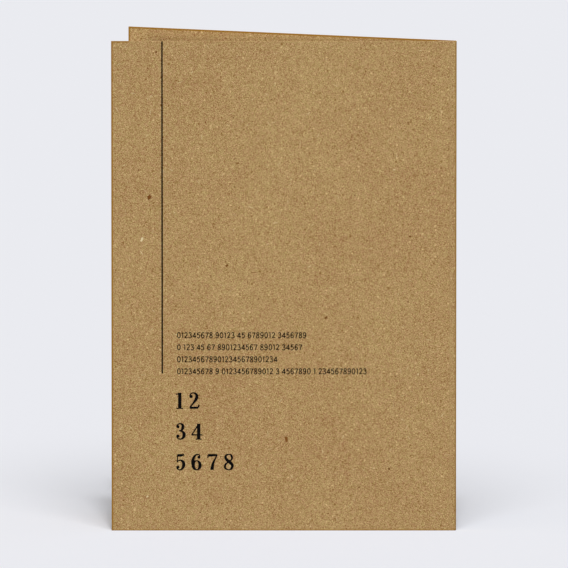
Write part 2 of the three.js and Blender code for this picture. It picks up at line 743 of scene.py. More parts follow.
def light_from_leaf(wiring, place):
    """How much of the view from a point of the floor the back leaf's outer face fills."""
    across, deep, _ = wiring.split(place)
    ahead = wiring.math("MAXIMUM", wiring.minus(CARD_LOW.y, deep), NEAREST_VIEW)
    to_head = wiring.math(
        "SQRT", wiring.plus(wiring.times(ahead, ahead), LEAF_HEIGHT * LEAF_HEIGHT)
    )
    left = wiring.minus(across, CARD_LOW.x)
    right = wiring.minus(CARD_HIGH.x, across)

    def width_seen(distance):
        """The angle that the leaf's width fills at that distance."""
        angles = [
            wiring.math("ARCTANGENT", wiring.math("DIVIDE", reach, distance))
            for reach in (left, right)
        ]
        return wiring.plus(*angles)

    slant = wiring.math("DIVIDE", ahead, to_head)
    seen = wiring.minus(width_seen(ahead), wiring.times(slant, width_seen(to_head)))
    in_front = wiring.math("LESS_THAN", deep, CARD_LOW.y)
    return wiring.times(wiring.math("DIVIDE", seen, 2 * math.pi), in_front)


def floor_material(colour):
    """A pale studio floor with a barely uneven matt surface, and painted shade near the card that takes
    back the card's brown light. It lights the card less than it shows.
    """
    material, wiring, shader = new_material("pale_floor")
    place = wiring.node("ShaderNodeTexCoord").outputs["Object"]
    uneven = wiring.times(noise(wiring, place, scale=FLOOR_CLOUDS), FLOOR_CLOUD_SHARE)
    shade = wiring.mix(uneven, opaque(colour), opaque(FLOOR_CLOUD))
    # Painted shade: the floor's colour is made darker and cooler where a leaf fills its view, to take
    # back that leaf's brown light.
    for spot, glow in (
        (place, BACK_LEAF_GLOW),
        (mirrored_place(wiring, place), FRONT_LEAF_GLOW),
    ):
        painted_shade = opaque([part / (1 + gain) for part, gain in zip(colour, glow)])
        shade = wiring.mix(light_from_leaf(wiring, spot), shade, painted_shade)
    quiet = opaque([FLOOR_BOUNCE] * 3)
    wiring.feed(shader.inputs["Base Color"], wiring.mix(seen_directly(wiring), quiet, shade))
    shader.inputs["Roughness"].default_value = 1.0
    shader.inputs["Specular IOR Level"].default_value = 0.0
    return material


# The sheet

BEND_STEPS = 14  # straight steps in each half of the bend
DENT_STEPS = 8  # steps across one dent of the creasing rule
DENT_SETBACK = 1.3 * MM  # from the end of the bend to the middle of the dent
DENT_WIDTH = 0.7 * MM
DENT_SIDE = 0.7  # from the dent's middle to the column beside it, of the dent's width
DENT_DEPTH = 0.05 * MM
BEAD_HEIGHT = 0.24 * MM  # ridge that the rule raised inside the fold
BEAD_SPREAD = math.radians(55)  # of the fold, on each side of the ridge
COLUMN = 5 * MM  # spacing of the mesh over the flat leaves
EDGE_STEPS = 2  # in the rounding of the cut edges
EDGE_LEAST_ANGLE = math.radians(60)
SMOOTH_BELOW = math.radians(20)


def along_stations(form):
    """Places along half of the opened sheet where the mesh has a column, from the crease outwards."""
    stations = [form.half_arc * step / BEND_STEPS for step in range(BEND_STEPS + 1)]
    dent_middle = form.half_arc + DENT_SETBACK
    stations.append(dent_middle - DENT_WIDTH * DENT_SIDE)
    for step in range(DENT_STEPS + 1):
        stations.append(dent_middle + DENT_WIDTH * (step / DENT_STEPS - 0.5))
    flat_start = dent_middle + DENT_WIDTH * DENT_SIDE
    columns = round((form.half_length - flat_start) / COLUMN)
    for step in range(columns + 1):
        stations.append(flat_start + (form.half_length - flat_start) * step / columns)
    return stations


def dent_at(distance, form):
    """Depth of the creasing rule's dent in the outer face, that far from the crease."""
    offset = (distance - form.half_arc - DENT_SETBACK) / (DENT_WIDTH / 2)
    return DENT_DEPTH * max(0.0, 1 - offset**2)


def bead_at(distance, form):
    """Height of the ridge on the inner face, that far from the crease."""
    turn = distance / form.neutral_radius
    if turn >= BEAD_SPREAD:
        return 0.0
    return BEAD_HEIGHT * math.cos(math.pi / 2 * turn / BEAD_SPREAD) ** 2


def flat_sheet(form):
    """The cut and creased sheet before it is folded, as a closed shell of quads."""
    half = along_stations(form)
    stations = [-distance for distance in reversed(half[1:])] + half
    rows = round(form.height / COLUMN)
    heights = [form.height * row / rows for row in range(rows + 1)]
    shape = bmesh.new()
    outer, inner = [], []
    for place in stations:
        dent = dent_at(abs(place), form)
        bead = bead_at(abs(place), form)
        outer.append([shape.verts.new((place, dent, up)) for up in heights])
        inner.append([shape.verts.new((place, form.thickness + bead, up)) for up in heights])
    for side in (outer, inner):
        for left, right in zip(side, side[1:]):
            for row in range(rows):
                shape.faces.new((left[row], right[row], right[row + 1], left[row + 1]))
    for end in (0, -1):
        for row in range(rows):
            shape.faces.new(
                (outer[end][row], outer[end][row + 1], inner[end][row + 1], inner[end][row])
            )
    for column in range(len(stations) - 1):
        for end in (0, -1):
            shape.faces.new(
                (
                    outer[column][end],
                    outer[column + 1][end],
                    inner[column + 1][end],
                    inner[column][end],
                )
            )
    return mesh_from_bmesh("flat_sheet", shape)


def soften_cut_edges(piece, form):
    """Rounds the cut edges by a hair. The angle limit leaves the dents and the bead alone."""
    bevel = piece.modifiers.new("Soft cut edges", "BEVEL")
    bevel.width = form.softness
    bevel.segments = EDGE_STEPS
    bevel.limit_method = "ANGLE"
    bevel.angle_limit = EDGE_LEAST_ANGLE


def shade_by_angle(mesh, angle):
    mesh.polygons.foreach_set("use_smooth", [True] * len(mesh.polygons))
    mesh.set_sharp_from_angle(angle=angle)


class INVITATION_OT_folded_sheet(Operator):
    """Cut, crease and fold the kraft sheet"""

    bl_idname = "invitation.folded_sheet"
    bl_label = "Folded Sheet"

    def execute(self, context):
        scene = context.scene
        form = SheetForm(scene.invitation_sheet)
        sheet = new_piece("kraft_sheet", flat_sheet(form))
        soften_cut_edges(sheet, form)
        fold(sheet, form, kraft_material(scene.invitation_kraft, form))
        shade_by_angle(sheet.data, SMOOTH_BELOW)
        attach(sheet, ROOT_BODY)
        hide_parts(CARD_NODE)
        return {"FINISHED"}


# Fibres and specks

FLECK_SINK = 0.012 * MM  # how deep a fleck's middle lies in the card
MARK_SIDES = 11
MARK_WOBBLE = (0.72, 1.15)  # least and most reach of a mark's outline, of its size
EDGE_GAP = 0.15 * MM  # between the end of a fleck and a cut edge
FLECK_STEPS = 6  # along a fleck
FLECK_SIDES = 5  # round a fleck
FLECK_TIP = 0.08  # girth of a fleck's ends, of its middle
SIZE_DRAW = 11.0  # added to the seed, so that sizes and turns are drawn apart
TURN_DRAW = 23.0
RANDOM_SOCKETS = {"FLOAT_VECTOR": (0, 0), "FLOAT": (2, 1)}  # of the least value and of the result

SHORT_FIBRE = 0.2  # of a long fibre's length
FIBRE_WIDTHS = (0.08 * MM, 0.22 * MM)
FIBRE_BOW = 0.25  # sideways, of a fleck's width
FIBRE_COLOURS = ((0.50, 0.36, 0.18), (0.74, 0.62, 0.36))
SPECK_LENGTHS = (0.25 * MM, 0.80 * MM)
SPECK_WIDTHS = (0.16 * MM, 0.40 * MM)
SPECK_BOW = 0.05
SPECK_COLOURS = ((0.215, 0.084, 0.021), (0.125, 0.042, 0.009))

# Marks that catch the eye on the back leaf: millimetres from its cut edge and up from its foot,
# length, width, turn in degrees, and tone between the kind's two colours.
LARGE_DARK_MARKS = (
    (13.0, 115.9, 1.9, 1.5, 60, 0.45),
    (73.7, 74.1, 1.4, 0.9, 20, 0.55),
    (39.6, 92.2, 1.2, 0.8, 40, 0.40),
    (102.6, 102.3, 1.0, 0.8, 0, 0.50),
    (32.3, 141.9, 0.9, 0.6, 70, 0.30),
    (60.1, 31.9, 2.3, 1.3, 100, 0.0),
    (95.4, 21.5, 0.9, 0.7, 30, 1.0),
    (50.5, 80.6, 0.7, 0.6, 0, 1.0),
    (15.4, 166.2, 0.95, 0.7, 80, 0.50),
    (12.6, 160.6, 0.65, 0.5, 10, 0.2),
    (49.1, 89.8, 2.8, 0.22, 3, 0.3),
    (39.5, 3.9, 0.7, 0.5, 20, 0.7),
    (46.7, 86.5, 0.6, 0.45, 60, 0.6),
    (30.5, 6.3, 0.6, 0.45, 0, 0.8),
    (74.5, 6.0, 0.65, 0.4, 15, 0.6),
    (64.5, 128.2, 0.6, 0.45, 90, 0.7),
    (101.9, 79.6, 0.6, 0.45, 35, 0.8),
    (85.1, 15.0, 0.6, 0.4, 70, 0.7),
    (15.0, 30.3, 0.6, 0.4, 50, 0.6),
    (87.9, 100.8, 0.55, 0.4, 10, 0.7),
    (7.1, 78.6, 0.55, 0.45, 0, 0.7),
    (11.9, 38.3, 0.55, 0.4, 25, 0.6),
)
LARGE_PALE_MARKS = (
    (10.5, 101.3, 2.0, 0.95, 68, 1.0),
    (12.3, 11.9, 0.9, 0.6, 30, 0.9),
    (21.7, 110.6, 0.7, 0.4, 120, 0.4),
    (97.1, 125.5, 0.9, 0.45, 15, 0.7),
    (105.4, 54.4, 0.9, 0.5, 75, 0.4),
    (68.0, 91.9, 1.5, 0.28, 32, 0.6),
)


def random_value(wiring, kind, least, most, seed):
    """A random value for each point. The node has sockets of its own for each kind of value."""
    made = wiring.node("FunctionNodeRandomValue", {"Seed": seed}, data_type=kind)
    least_input, output = RANDOM_SOCKETS[kind]
    wiring.feed(made.inputs[least_input], least)
    wiring.feed(made.inputs[least_input + 1], most)
    return made.outputs[output]


def fleck_tree():
    """Scatters thin flecks over the flat sheet, turned and sized at random, half sunk in its faces."""
    name = "Scatter flecks"
    if name in bpy.data.node_groups:
        return bpy.data.node_groups[name]
    tree, wiring, given = new_geometry_tree(
        name,
        {
            "Density": "NodeSocketFloat",
            "Seed": "NodeSocketInt",
            "Shortest": "NodeSocketVector",
            "Longest": "NodeSocketVector",
            "Bow": "NodeSocketFloat",
            "Half Length": "NodeSocketFloat",
            "Height": "NodeSocketFloat",
            "Margin": "NodeSocketFloat",
            "Material": "NodeSocketMaterial",
        },
    )
    points = wiring.node(
        "GeometryNodeDistributePointsOnFaces",
        {"Mesh": given["Geometry"], "Density": given["Density"], "Seed": given["Seed"]},
        distribute_method="RANDOM",
    )
    place = wiring.node("GeometryNodeInputPosition").outputs[0]
    along, _, up = wiring.split(place)
    from_side = wiring.minus(given["Half Length"], wiring.math("ABSOLUTE", along))
    from_end = wiring.math("MINIMUM", up, wiring.minus(given["Height"], up))
    from_edge = wiring.math("MINIMUM", from_side, from_end)
    kept = wiring.node(
        "GeometryNodeDeleteGeometry",
        {
            "Geometry": points.outputs["Points"],
            "Selection": wiring.math("LESS_THAN", from_edge, given["Margin"]),
        },
        domain="POINT",
    )
    tone = random_value(wiring, "FLOAT", 0.0, 1.0, given["Seed"])
    toned = wiring.node(
        "GeometryNodeStoreNamedAttribute",
        {"Geometry": kept.outputs[0], "Name": FLECK_TONE, "Value": tone},
        data_type="FLOAT",
        domain="POINT",
    )

    # One fleck, one long and one wide: a bowed line with a skin of a few sides that tapers to both ends
    line = wiring.node(
        "GeometryNodeCurveQuadraticBezier",
        {
            "Resolution": FLECK_STEPS,
            "Start": (-0.5, 0.0, 0.0),
            "Middle": wiring.join(0.0, given["Bow"], 0.0),
            "End": (0.5, 0.0, 0.0),
        },
    )
    share = wiring.node("GeometryNodeSplineParameter").outputs["Factor"]
    swell = wiring.math("SINE", wiring.times(share, math.pi))
    girth = wiring.plus(wiring.times(swell, 1 - FLECK_TIP), FLECK_TIP)
    section = wiring.node(
        "GeometryNodeCurvePrimitiveCircle", {"Resolution": FLECK_SIDES, "Radius": 0.5}
    )
    skin = wiring.node(
        "GeometryNodeCurveToMesh",
        {
            "Curve": line.outputs[0],
            "Profile Curve": section.outputs[0],
            "Scale": girth,
            "Fill Caps": True,
        },
    )

    size_seed = wiring.plus(given["Seed"], SIZE_DRAW)
    size = random_value(wiring, "FLOAT_VECTOR", given["Shortest"], given["Longest"], size_seed)
    turn_seed = wiring.plus(given["Seed"], TURN_DRAW)
    turn = random_value(wiring, "FLOAT", 0.0, 2 * math.pi, turn_seed)
    placed = wiring.node(
        "GeometryNodeInstanceOnPoints",
        {
            "Points": toned.outputs[0],
            "Instance": skin.outputs[0],
            "Rotation": points.outputs["Rotation"],
            "Scale": size,
        },
    )
    about_normal = wiring.join(0.0, 0.0, turn)
    turned = wiring.node(
        "GeometryNodeRotateInstances",
        {"Instances": placed.outputs[0], "Rotation": about_normal, "Local Space": True},
    )
    end_tree(wiring, turned.outputs[0], given["Material"])
    return tree


def mark_outline(length, width, turn, luck):
    """An uneven oval of a few sides, as (along, up) offsets from its middle."""
    outline = []
    for side in range(MARK_SIDES):
        angle = 2 * math.pi * side / MARK_SIDES
        wobble = luck.uniform(*MARK_WOBBLE)
        along = math.cos(angle) * length / 2 * wobble
        up = math.sin(angle) * width / 2 * wobble
        outline.append(
            (
                along * math.cos(turn) - up * math.sin(turn),
                along * math.sin(turn) + up * math.cos(turn),
            )
        )
    return outline


def add_large_marks(mesh, marks, form, seed):
    """Adds the larger marks of the back leaf to the mesh of scattered flecks, before it is folded."""
    luck = random.Random(seed)
    shape = bmesh.new()
    shape.from_mesh(mesh)
    tones = shape.verts.layers.float[FLECK_TONE]
    for from_edge, from_foot, length, width, degrees, tone in marks:
        middle = Vector((form.from_cut_edge(from_edge * MM), 0.0, from_foot * MM))
        outline = mark_outline(length * MM, width * MM, math.radians(degrees), luck)
        rim = [shape.verts.new(middle + Vector((along, 0.0, up))) for along, up in outline]
        crest = shape.verts.new(middle + Vector((0.0, -FLECK_SINK, 0.0)))
        root = shape.verts.new(middle + Vector((0.0, FLECK_SINK, 0.0)))
        for corner in (*rim, crest, root):
            corner[tones] = tone
        for first, second in zip(rim, rim[1:] + rim[:1]):
            shape.faces.new((first, second, crest))
            shape.faces.new((second, first, root))
    shape.to_mesh(mesh)
    shape.free()


def make_flecks(name, form, density, seed, shortest, longest, bow, marks, material):
    """One piece of all the flecks of a kind: scattered flat, joined by the larger marks, then folded."""
    flecks = new_piece(name, flat_sheet(form))
    add_tree(
        flecks,
        fleck_tree(),
        {
            "Density": density,
            "Seed": seed,
            "Shortest": shortest,
            "Longest": longest,
            "Bow": bow,
            "Half Length": form.half_length,
            "Height": form.height,
            "Margin": longest[0] / 2 + EDGE_GAP,
            "Material": material,
        },
    )
    freeze(flecks)
    add_large_marks(flecks.data, marks, form, seed)
    fold(flecks, form, material)
    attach(flecks, ROOT_BODY)


class INVITATION_OT_flecks(Operator):
    """Scatter the pale fibres and the dark bark specks through both faces of the card"""

    bl_idname = "invitation.flecks"
    bl_label = "Fibres and Specks"

    def execute(self, context):
        scene = context.scene
        form = SheetForm(scene.invitation_sheet)
        flecks = scene.invitation_flecks
        thickness = 2 * FLECK_SINK
        make_flecks(
            "pale_fibres",
            form,
            density=flecks.pale_density,
            seed=flecks.seed,
            shortest=(flecks.fibre_length * SHORT_FIBRE, FIBRE_WIDTHS[0], thickness),
            longest=(flecks.fibre_length, FIBRE_WIDTHS[1], thickness),
            bow=FIBRE_BOW,
            marks=LARGE_PALE_MARKS,
            material=fleck_material("pale_fibre", *FIBRE_COLOURS),
        )
        make_flecks(
            "bark_specks",
            form,
            density=flecks.dark_density,
            seed=flecks.seed + 1,
            shortest=(SPECK_LENGTHS[0], SPECK_WIDTHS[0], thickness),
            longest=(SPECK_LENGTHS[1], SPECK_WIDTHS[1], thickness),
            bow=SPECK_BOW,
            marks=LARGE_DARK_MARKS,
            material=fleck_material("bark_speck", *SPECK_COLOURS),
        )
        return {"FINISHED"}


# Print

INK_PROUD = 0.012 * MM  # of the ink above the card
INK_SUNK = 0.03 * MM  # of the ink below the card's face

RULE_FROM_EDGE = 17.44 * MM  # from the back leaf's cut edge to the middle of the rule
RULE_FOOT = 54.7 * MM  # height of the rule's lower end
SMALL_FROM_EDGE = 22.48 * MM  # where the small rows start
LARGE_FROM_EDGE = 22.02 * MM  # where the large rows start

SMALL_ROWS = (
    "012345678 90123 45 6789012 3456789",
    "0 123 45 67 8901234567 89012 34567",
    "0123456789012345678901234",
    "012345678 9 0123456789012 3 4567890 1 234567890123",
)
SMALL_BASELINE = 67.0 * MM  # height of the first small row
SMALL_ROW_STEP = 4.18 * MM

LARGE_BASELINE = 42.4 * MM  # height of the first large row
LARGE_ROW_STEP = 10.7 * MM

SPLINE_STEPS = 4  # straight steps between two points of a pen stroke
BALL_SIDES = 20
RING_POINTS = 12
RING_CONTRAST = 1.5  # how soon the pen lets go on its way from a ring's side to its head
WELD_IN_NUMERAL = 1e-5  # of a numeral's height
STRAIGHT_BELOW = math.radians(1)


def ring(across, up, half_width, half_height):
    """A closed pen stroke round an oval, pressed at its sides."""
    points = []
    for point in range(RING_POINTS):
        angle = 2 * math.pi * point / RING_POINTS
        points.append(
            (
                across + half_width * math.cos(angle),
                up + half_height * math.sin(angle),
                abs(math.cos(angle)) ** RING_CONTRAST,
            )
        )
    return points


def half_turned(strokes, width):
    """The same strokes turned upside down, in a box one high."""
    return [[(width - across, 1 - up, press) for across, up, press in stroke] for stroke in strokes]


SIX_BACK = [
    (0.53, 0.80, 0.0), (0.50, 0.92, 0.0), (0.38, 0.972, 0.05), (0.22, 0.88, 0.45),
    (0.11, 0.64, 0.9), (0.105, 0.38, 1.0), (0.17, 0.14, 0.7), (0.32, 0.028, 0.05),
]
SIX_BOWL = ring(0.325, 0.305, 0.205, 0.277)

# Each numeral in a box one high: its width, its open pen strokes and closed ones, and what only the
# bold roman numerals have, fine strokes and balls. A pen stroke has points (across, up, press).
NUMERALS = {
    "0": {"width": 0.68, "closed": [ring(0.34, 0.5, 0.24, 0.472)]},
    "1": {
        "width": 0.46,
        "strokes": [
            [(0.25, 0.02, 1.0), (0.25, 0.98, 1.0)],
            [(0.23, 0.955, 0.1), (0.13, 0.905, 0.05), (0.02, 0.885, 0.0)],
        ],
        "fine": [[(0.04, 0.030, 0.0), (0.46, 0.030, 0.0)]],
    },
    "2": {
        "width": 0.63,
        "strokes": [
            [
                (0.06, 0.76, 0.1), (0.11, 0.91, 0.05), (0.27, 0.970, 0.1), (0.43, 0.90, 0.6),
                (0.48, 0.74, 0.95), (0.41, 0.54, 0.75), (0.23, 0.30, 0.3), (0.06, 0.08, 0.1),
            ],
            [(0.04, 0.066, 0.5), (0.30, 0.068, 0.55), (0.56, 0.066, 0.5)],
        ],
        "fine": [[(0.555, 0.08, 0.4), (0.595, 0.16, 0.2), (0.61, 0.26, 0.0)]],
        "balls": [(0.135, 0.755, 0.10)],
    },
    "3": {
        "width": 0.61,
        "strokes": [
            [
                (0.07, 0.80, 0.0), (0.13, 0.92, 0.05), (0.28, 0.972, 0.1), (0.42, 0.88, 0.65),
                (0.43, 0.71, 0.85), (0.34, 0.57, 0.35), (0.20, 0.53, 0.0),
            ],
            [
                (0.20, 0.53, 0.0), (0.37, 0.505, 0.25), (0.495, 0.38, 0.9), (0.495, 0.20, 0.95),
                (0.38, 0.06, 0.4), (0.25, 0.028, 0.1), (0.12, 0.07, 0.0), (0.06, 0.18, 0.0),
            ],
        ],
        "balls": [(0.14, 0.785, 0.095), (0.135, 0.205, 0.10)],
    },
    "4": {
        "width": 0.67,
        "strokes": [
            [(0.44, 0.02, 1.0), (0.44, 0.97, 1.0)],
            [(0.44, 0.955, 0.1), (0.03, 0.285, 0.1)],
            [(0.01, 0.285, 0.1), (0.66, 0.285, 0.1)],
        ],
        "fine": [[(0.26, 0.027, 0.0), (0.62, 0.027, 0.0)]],
    },
    "5": {
        "width": 0.60,
        "strokes": [
            [(0.10, 0.915, 0.65), (0.32, 0.91, 0.7), (0.52, 0.955, 0.25)],
            [(0.115, 0.94, 0.0), (0.095, 0.50, 0.0)],
            [
                (0.095, 0.50, 0.0), (0.19, 0.59, 0.1), (0.31, 0.61, 0.25), (0.455, 0.50, 0.8),
                (0.485, 0.30, 0.95), (0.39, 0.10, 0.45), (0.26, 0.028, 0.1), (0.13, 0.06, 0.0),
                (0.06, 0.16, 0.0),
            ],
        ],
        "balls": [(0.135, 0.190, 0.10)],
    },
    "6": {
        "width": 0.64,
        "strokes": [SIX_BACK],
        "closed": [SIX_BOWL],
        "balls": [(0.465, 0.80, 0.09)],
    },
    "7": {
        "width": 0.63,
        "strokes": [
            [(0.03, 0.915, 0.6), (0.30, 0.915, 0.65), (0.58, 0.935, 0.4)],
            [
                (0.59, 0.95, 0.05), (0.47, 0.70, 0.2), (0.34, 0.42, 0.6), (0.285, 0.14, 1.0),
                (0.28, 0.02, 1.0),
            ],
        ],
        "fine": [[(0.045, 0.93, 0.2), (0.03, 0.84, 0.1), (0.025, 0.74, 0.0)]],
    },
    "8": {
        "width": 0.63,
        "closed": [
            [
                (0.32, 0.972, 0.05), (0.165, 0.91, 0.4), (0.12, 0.78, 0.65), (0.21, 0.63, 0.8),
                (0.40, 0.47, 0.9), (0.53, 0.30, 0.8), (0.48, 0.11, 0.55), (0.32, 0.028, 0.05),
                (0.14, 0.10, 0.35), (0.085, 0.25, 0.5), (0.17, 0.41, 0.3), (0.37, 0.55, 0.15),
                (0.49, 0.67, 0.3), (0.51, 0.79, 0.45), (0.455, 0.92, 0.3),
            ],
        ],
    },
    "9": {
        "width": 0.64,
        "strokes": half_turned([SIX_BACK], 0.64),
        "closed": half_turned([SIX_BOWL], 0.64),
        "balls": [(0.175, 0.20, 0.09)],
    },
}

# A face's pen at its lightest and at its heaviest, whether it has fine strokes and balls, and the gap
# between two numerals, all as shares of a numeral's height
BOLD_ROMAN = {"hair": 0.066, "stem": 0.205, "roman": True, "gap": 0.335}
PLAIN = {"hair": 0.156, "stem": 0.156, "roman": False, "gap": 0.085}
WORD_SPACE = 0.36


def smoothed(points, closed):
    """Points of a pen stroke on a Catmull-Rom curve through the given ones."""
    if len(points) < 3:
        return list(points)
    count = len(points)
    spans = count if closed else count - 1
    curve = []

    def at(index):
        return points[index % count] if closed else points[min(max(index, 0), count - 1)]

    for span in range(spans):
        before, start, end, after = (at(span + shift) for shift in (-1, 0, 1, 2))
        for step in range(SPLINE_STEPS):
            t = step / SPLINE_STEPS
            curve.append(
                tuple(
                    0.5
                    * (
                        2 * b
                        + (c - a) * t
                        + (2 * a - 5 * b + 4 * c - d) * t**2
                        + (3 * b - a - 3 * c + d) * t**3
                    )
                    for a, b, c, d in zip(before, start, end, after)
                )
            )
    if not closed:
        curve.append(points[-1])
    return curve


def stroke_patches(points, closed, face):
    """The four-cornered patches that a pen of that face inks along a stroke."""
    curve = smoothed(points, closed)
    count = len(curve)
    sides = []
    for index in range(count):
        if closed:
            before, after = curve[index - 1], curve[(index + 1) % count]
        else:
            before, after = curve[max(index - 1, 0)], curve[min(index + 1, count - 1)]
        heading = Vector((after[0] - before[0], after[1] - before[1])).normalized()
        press = min(max(curve[index][2], 0.0), 1.0)
        half = (face["hair"] + (face["stem"] - face["hair"]) * press) / 2
        middle = Vector(curve[index][:2])
        normal = Vector((-heading.y, heading.x))
        sides.append((middle + normal * half, middle - normal * half))
    pairs = zip(sides, sides[1:] + sides[:1]) if closed else zip(sides, sides[1:])
    return [[a[0], a[1], b[1], b[0]] for a, b in pairs]


def counter_clockwise(outline):
    area = sum(a.x * b.y - b.x * a.y for a, b in zip(outline, outline[1:] + outline[:1]))
    return outline if area > 0 else outline[::-1]


def numeral_triangles(digit, face):
    """The inked area of a numeral: the points, and the triangles between them."""
    drawing = NUMERALS[digit]
    patches = []
    for stroke in drawing.get("strokes", []):
        patches += stroke_patches(stroke, False, face)
    for stroke in drawing.get("closed", []):
        patches += stroke_patches(stroke, True, face)
    if face["roman"]:
        for stroke in drawing.get("fine", []):
            patches += stroke_patches(stroke, False, face)
        for across, up, radius in drawing.get("balls", []):
            angles = [2 * math.pi * side / BALL_SIDES for side in range(BALL_SIDES)]
            patches.append(
                [Vector((across + radius * math.cos(a), up + radius * math.sin(a))) for a in angles]
            )
    points, faces = [], []
    for patch in patches:
        start = len(points)
        points += counter_clockwise(patch)
        faces.append(list(range(start, len(points))))
    fill_inside = 1  # of the ways to fill, the one that leaves out what lies outside the patches
    corners, _, triangles, _, _, sources = delaunay_2d_cdt(
        points, [], faces, fill_inside, WELD_IN_NUMERAL
    )
    return corners, [triangle for triangle, source in zip(triangles, sources) if source]


numeral_shapes = {}  # those that are worked out already


def numeral_outline(digit, face):
    """The inked area of a numeral as few flat polygons: its points and its faces."""
    key = (digit, face["stem"])
    if key not in numeral_shapes:
        corners, triangles = numeral_triangles(digit, face)
        flat = bmesh.new()
        made = [flat.verts.new((corner.x, 0.0, corner.y)) for corner in corners]
        for triangle in triangles:
            flat.faces.new([made[index] for index in triangle])
        bmesh.ops.dissolve_limit(
            flat, angle_limit=STRAIGHT_BELOW, verts=flat.verts, edges=flat.edges
        )
        loose = [corner for corner in flat.verts if not corner.link_faces]
        bmesh.ops.delete(flat, geom=loose, context="VERTS")
        bmesh.ops.triangulate(flat, faces=flat.faces)
        flat.verts.index_update()
        numeral_shapes[key] = (
            [vertex.co.copy() for vertex in flat.verts],
            [[vertex.index for vertex in area.verts] for area in flat.faces],
        )
        flat.free()
    return numeral_shapes[key]


def add_film(shape, points, faces):
    """Adds a closed film of ink over flat faces that lie in the card's outer face."""
    proud = [shape.verts.new(point + Vector((0.0, -INK_PROUD, 0.0))) for point in points]
    sunk = [shape.verts.new(point + Vector((0.0, INK_SUNK, 0.0))) for point in points]
    uses = {}
    for face in faces:
        shape.faces.new([proud[index] for index in face])
        shape.faces.new([sunk[index] for index in reversed(face)])
        for first, second in zip(face, face[1:] + face[:1]):
            uses[(first, second)] = uses.get((first, second), 0) + 1
    for first, second in uses:
        if (second, first) not in uses:
            shape.faces.new((proud[second], proud[first], sunk[first], sunk[second]))


def add_row(shape, text, start, baseline, height, face, form):
    """Prints a row of numerals, which starts that far from the cut edge."""
    across = form.from_cut_edge(start)
    for letter in text:
        if letter == " ":
            across += WORD_SPACE * height
            continue
        points, faces = numeral_outline(letter, face)
        corner = Vector((across, 0.0, baseline))
        add_film(shape, [corner + point * height for point in points], faces)
        across += (NUMERALS[letter]["width"] + face["gap"]) * height


def print_rows(scene, name, rows, start, baseline, step, height, face):
    """Prints rows of numerals, one below the other, as one piece."""
    form = SheetForm(scene.invitation_sheet)
    shape = bmesh.new()
    for row, text in enumerate(rows):
        add_row(shape, text, start, baseline - row * step, height, face, form)
    finish_print(name, shape, form, scene.invitation_print.ink_colour)


def finish_print(name, shape, form, ink_colour):
    """Folds a printed piece with the sheet and sets what it rides on."""
    printed = new_piece(name, mesh_from_bmesh(name, shape))
    fold(printed, form, ink_material(ink_colour))
    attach(printed, ROOT_BODY)


class INVITATION_OT_upright_rule(Operator):
    """Print the thin upright rule from the head of the back leaf"""

    bl_idname = "invitation.upright_rule"
    bl_label = "Upright Rule"

    def execute(self, context):
        scene = context.scene
        form = SheetForm(scene.invitation_sheet)
        ink = scene.invitation_print
        middle = form.from_cut_edge(RULE_FROM_EDGE)
        left = middle - ink.rule_width / 2
        right = middle + ink.rule_width / 2
        head = form.height - form.softness
        corners = [
            Vector((left, 0.0, RULE_FOOT)),
            Vector((right, 0.0, RULE_FOOT)),
            Vector((right, 0.0, head)),
            Vector((left, 0.0, head)),
        ]
        shape = bmesh.new()
        add_film(shape, corners, [[0, 1, 2, 3]])
        finish_print("upright_rule", shape, form, ink.ink_colour)
        return {"FINISHED"}


class INVITATION_OT_small_rows(Operator):
    """Print the four rows of small plain numerals"""

    bl_idname = "invitation.small_rows"
    bl_label = "Small Rows"

    def execute(self, context):
        print_rows(
            context.scene,
            "small_numeral_rows",
            rows=SMALL_ROWS,
            start=SMALL_FROM_EDGE,
            baseline=SMALL_BASELINE,
            step=SMALL_ROW_STEP,
            height=context.scene.invitation_print.small_height,
            face=PLAIN,
        )
        return {"FINISHED"}


class INVITATION_OT_large_rows(Operator):
    """Print the three rows of large roman numerals"""

    bl_idname = "invitation.large_rows"
    bl_label = "Large Rows"

    def execute(self, context):
        ink = context.scene.invitation_print
        print_rows(
            context.scene,
            "large_numeral_rows",
            rows=ink.large_rows.split(),
            start=LARGE_FROM_EDGE,
            baseline=LARGE_BASELINE,
            step=LARGE_ROW_STEP,
            height=ink.large_height,
            face=BOLD_ROMAN,
        )
        return {"FINISHED"}


# The stage

CARD_PIECES = (
    "kraft_sheet",
    "pale_fibres",
    "bark_specks",
    "upright_rule",
    "small_numeral_rows",
    "large_numeral_rows",
)
FLOOR_HALF = 14.0  # half the floor's side, so that the long lens sees nothing but floor

# Each light by the name of its setting: how wide it is, and its azimuth and elevation, in degrees.
# The room's lights fall on everything, and the card's lights on the card alone.
ROOM_LIGHTS = {
    "key_light": (6, 2.6, 67.1),
    "soft_light": (37.5, 4.5, 59.4),
}
CARD_LIGHTS = {
    "front_fill": (12, -18, 6.8),
    "rear_fill": (50, 135, 25),
    "side_fill": (36, -120, 15),
    "left_fill": (24, -76, 4),
}

PHOTO_SIZE = 568  # pixels on a side of the photograph
LEAF_PX = 345.0  # width of the back leaf in the photograph
SENSOR_WIDTH = 36.0
AIM_ABOVE = 0.800 * MM  # of the point that the camera looks at, above the back leaf's middle
AIM_RIGHT = 0.035 * MM
NEAR_CLIP = 0.1  # of the camera's distance
FAR_CLIP = 3.0


